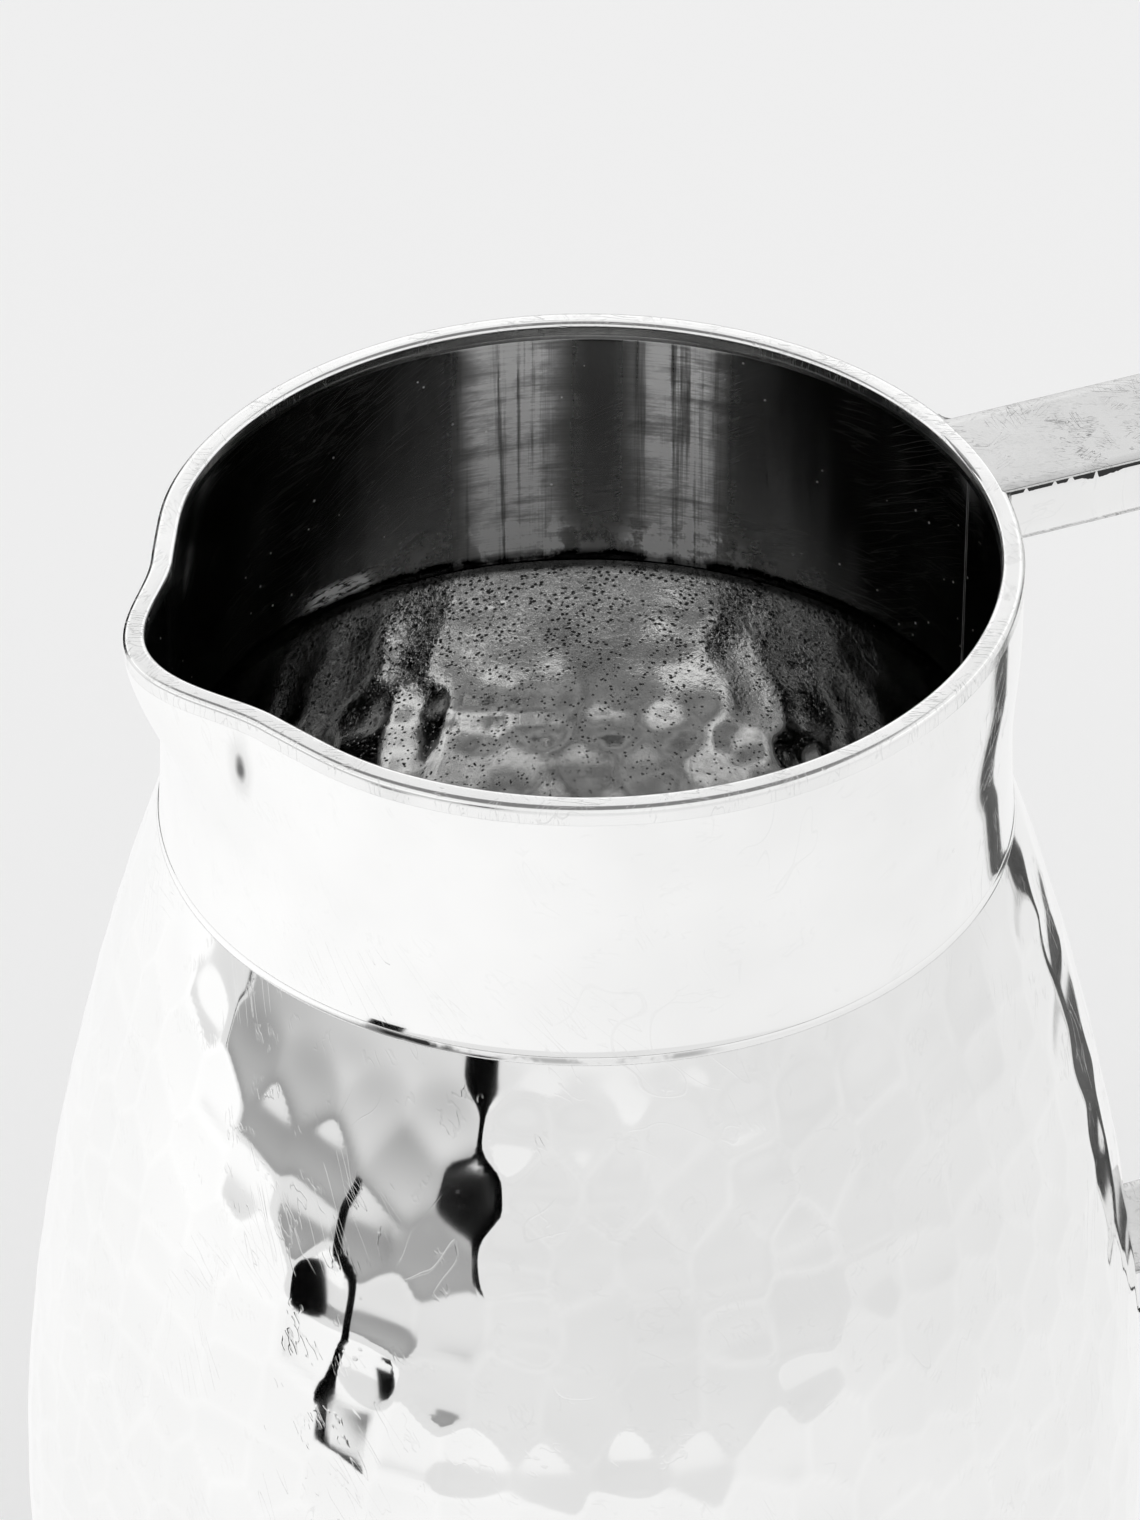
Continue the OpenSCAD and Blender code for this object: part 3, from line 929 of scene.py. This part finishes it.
class PITCHER_OT_solder(bpy.types.Operator):
    """Solder fillets at the collar and at the two roots of the handle"""

    bl_idname = "pitcher.solder"
    bl_label = "Solder"

    def execute(self, context):
        """Every fillet is a concave curve between two walls, carried along
        the line where they meet."""
        low = SEAM_Z - 0.9
        curve = bezier((COLLAR_FOOT_R + 0.01, SEAM_Z + 0.2), (COLLAR_FOOT_R + 0.035, SEAM_Z - 0.3),
                       (float(bowl_radius(low)) + 0.01, low), 9)
        section = np.concatenate([[(BOWL_TOP_R - 0.3, SEAM_Z)], curve[::-1]])
        ring = lathe("collar_solder_line", section, 360)
        finish_piece(ring, ["joint"], "collar_solder")

        self.root("upper_arm_fillet", lambda z: RIM_R, TOTAL_H - HANDLE_T, TOTAL_H - 0.35,
                  0.5, 2.1, "upper_arm_solder", top=False)
        self.root("lower_arm_fillet", lambda z: float(bowl_radius(z)), LOWER_ARM_Z,
                  LOWER_ARM_Z + HANDLE_T, 0.9, 1.2, "lower_arm_solder", top=True)
        return {"FINISHED"}

    def root(self, name, wall, low, high, near, far, node, top):
        """Fillet round an arm, of size near and far on its two sides: up one
        side, and along the underside to the other side; closed over the arm
        as well where top is set."""
        w = HANDLE_W / 2
        middle = 0.4 * (near + far)
        quarter = np.linspace(0, np.pi / 2, 6)[1:-1]
        heights, widths = np.linspace(low, high, 8), np.linspace(-w, w, 16)
        stations = [(-w, z, (0, -1, 0), near) for z in heights[::-1]]
        stations += [(-w, low, (0, -math.cos(a), -math.sin(a)), near) for a in quarter]
        stations += [(y, low, (0, 0, -1), middle) for y in widths]
        stations += [(w, low, (0, math.sin(a), -math.cos(a)), far) for a in quarter]
        stations += [(w, z, (0, 1, 0), far) for z in heights]
        if top:
            stations += [(w, high, (0, math.cos(a), math.sin(a)), far) for a in quarter]
            stations += [(y, high, (0, 0, 1), middle) for y in widths[::-1]]
            stations += [(-w, high, (0, -math.sin(a), math.cos(a)), near) for a in quarter]

        def on_wall(y, z):
            return math.sqrt(wall(z) ** 2 - y**2)

        columns = []
        for y, z, away, size in stations:
            corner = np.array([on_wall(y, z), y, z])
            out = np.array(away, float)
            foot = corner + out * size
            foot[0] = on_wall(foot[1], foot[2]) - 0.02
            tip = corner + np.array([size, 0, 0]) - out * 0.02
            curve = bezier(foot, corner + out * 0.03, tip, 7)
            root = corner + np.array([-0.5, 0, 0]) - out * 0.4
            columns.append(np.concatenate([[root], curve]))
        piece = grid_object(name, np.array(columns), close_columns=top, close_rows=True,
                            caps=not top, flip=True)
        finish_piece(piece, ["handle"], node)


class PITCHER_OT_base(bpy.types.Operator):
    """Flat base plate and the foot ring round it"""

    bl_idname = "pitcher.base"
    bl_label = "Base"

    def execute(self, context):
        """Two sections turned round the axis."""
        edge, pole = FOOT_IN_R, 0.001
        under = np.linspace((2, 0), (edge - 0.2, 0), 24)
        over = np.linspace((edge - 1, BASE_T), (2, BASE_T), 20)
        rim = [(edge, 0.0), (edge, BASE_T), (edge - 0.2, BASE_T)]
        section = np.concatenate([[(pole, 0.0)], under, rim, over, [(pole, BASE_T)]])
        slots = np.arange(len(section)) >= len(under) + len(rim)
        plate = lathe("base_plate_worn", section, 180, slots=slots)
        finish_piece(plate, ["base", "bowl_lining"], "base_plate")

        foot = np.concatenate([
            [(FOOT_IN_R, 0.0), (FOOT_OUT_R - 1.1, 0.0)],
            bezier((FOOT_OUT_R - 0.9, 0.0), (FOOT_OUT_R, 0.0), (FOOT_OUT_R, 0.9), 7),
            bezier((FOOT_OUT_R, 1.9), (FOOT_OUT_R, FOOT_H), (FOOT_OUT_R - 0.7, FOOT_H + 0.1), 7),
            [(BOWL_BASE_R - 0.3, FOOT_H + 0.1), (FOOT_IN_R, FOOT_H)]])
        ring = lathe("foot_ring_soft", foot, 300)
        finish_piece(ring, ["base"], "foot_ring")
        return {"FINISHED"}


class PITCHER_OT_stage(bpy.types.Operator):
    """Pale floor, even light, studio cards and the camera"""

    bl_idname = "pitcher.stage"
    bl_label = "Stage"

    def execute(self, context):
        s = context.scene.pitcher_stage
        world = bpy.data.worlds.new("studio")
        context.scene.world = world
        world.use_nodes = True
        background = world.node_tree.nodes["Background"]
        background.inputs["Color"].default_value = (1, 1, 1, 1)
        background.inputs["Strength"].default_value = s.world
        context.scene.view_settings.view_transform = "Standard"
        self.floor(s)
        self.cards(s)
        self.camera(context, s)
        return {"FINISHED"}

    @staticmethod
    def floor(s):
        half = FLOOR_HALF
        verts = [(-half, -half, 0), (half, -half, 0), (half, half, 0), (-half, half, 0)]
        floor = add_mesh("floor", verts, [(0, 1, 2, 3)])
        look = Look("floor_paper", Roughness=0.9)
        look.shader.inputs["Specular IOR Level"].default_value = 0.0
        level = look.noise(look.place(), 3.0, 2.0) * 0.004 + (s.floor - 0.002)
        floor.data.materials.append(look.set(Base_Color=look.color(level, level, level)))

    def cards(self, s):
        """Cards seen only in reflections. Angles are degrees round the pitcher
        from the camera's side, positive to the camera's right; distances and
        heights are in millimetres."""
        room = card_light("card_room_light", 0.82, drift=0.16)
        outline = [(angle, FLOOR_HALF) for angle in range(0, 360, 15)]
        self.flat_card("card_room", room, outline, 0.3, s)
        x, y = self.toward(90, -0.22, s)
        table = card_light("card_table_light", 0.95, slope=(x, y, 0.0))
        self.flat_card("card_table", table, TABLE_EDGE, 0.6, s)
        for name, level, rise, start, end, far, low, high in STANDING_CARDS:
            light = card_light(name + "_light", level, (0.0, 0.0, rise), 0.1 * (level > 0.1))
            self.standing_card(name, light, (start, end), far, (low, high), s)
        half, z = ROOF_HALF, ROOF_Z
        roof = [(-half, -half, z), (-half, half, z), (half, half, z), (half, -half, z)]
        self.card("card_roof", card_light("card_roof_light", 0.22), roof, [(0, 1, 2, 3)])

    def flat_card(self, name, light, outline, z, s):
        verts = [(*self.toward(angle, far, s), z) for angle, far in outline]
        self.card(name, light, verts, [tuple(range(len(verts)))])

    def standing_card(self, name, light, angles, far, heights, s):
        steps = max(int(abs(angles[1] - angles[0]) / 4), 1) + 1
        verts = [(*self.toward(angle, far, s), z)
                 for angle in np.linspace(*angles, steps) for z in heights]
        faces = [(2 * i, 2 * i + 2, 2 * i + 3, 2 * i + 1) for i in range(steps - 1)]
        self.card(name, light, verts, faces)

    @staticmethod
    def toward(angle, far, s):
        turned = math.radians(angle) + s.azimuth
        return far * math.sin(turned), -far * math.cos(turned)

    @staticmethod
    def card(name, light, verts, faces):
        card = add_mesh(name, verts, faces)
        card.data.materials.append(light)
        card.visible_camera = card.visible_diffuse = card.visible_shadow = False

    @staticmethod
    def camera(context, s):
        data = bpy.data.cameras.new("view")
        data.lens, data.sensor_width, data.shift_x = s.lens, 36.0, s.sideways
        data.clip_start, data.clip_end = 0.02, 30.0
        camera = bpy.data.objects.new("view", data)
        context.scene.collection.objects.link(camera)
        a, e = s.azimuth, s.elevation
        rim = Vector((0, 0, TOTAL_H * MM))
        out = Vector((math.sin(a) * math.cos(e), -math.cos(a) * math.cos(e), math.sin(e)))
        turn = Matrix.Rotation(a, 4, "Z") @ Matrix.Rotation(math.pi / 2 - s.tilt, 4, "X")
        camera.matrix_world = Matrix.Translation(rim + out * s.distance) @ turn
        context.scene.camera = camera


class PITCHER_PT_panel(bpy.types.Panel):
    """Sidebar panel that lists the pieces"""

    bl_label = "Silver water pitcher"
    bl_idname = "PITCHER_PT_panel"
    bl_space_type = "VIEW_3D"
    bl_region_type = "UI"
    bl_category = "Pitcher"

    def draw(self, context):
        for operator in OPERATORS:
            self.layout.operator(operator.bl_idname)
        for name in SETTINGS:
            box = self.layout.box()
            group = getattr(context.scene, name)
            for key in group.__annotations__:
                box.prop(group, key)


OPERATORS = (PITCHER_OT_bowl, PITCHER_OT_collar, PITCHER_OT_handle, PITCHER_OT_solder,
             PITCHER_OT_base, PITCHER_OT_stage)
SETTINGS = {
    "pitcher_bowl": PitcherBowlSettings,
    "pitcher_lip": PitcherLipSettings,
    "pitcher_handle": PitcherHandleSettings,
    "pitcher_stage": PitcherStageSettings,
}


def register():
    for cls in (*SETTINGS.values(), *OPERATORS, PITCHER_PT_panel):
        bpy.utils.register_class(cls)
    for name, cls in SETTINGS.items():
        setattr(bpy.types.Scene, name, bpy.props.PointerProperty(type=cls))


def unregister():
    for name in SETTINGS:
        delattr(bpy.types.Scene, name)
    for cls in (PITCHER_PT_panel, *reversed(OPERATORS), *SETTINGS.values()):
        bpy.utils.unregister_class(cls)


def main():
    register()
    bpy.ops.pitcher.bowl()
    bpy.ops.pitcher.collar()
    bpy.ops.pitcher.handle()
    bpy.ops.pitcher.solder()
    bpy.ops.pitcher.base()
    bpy.ops.pitcher.stage()


if __name__ == "__main__":
    main()
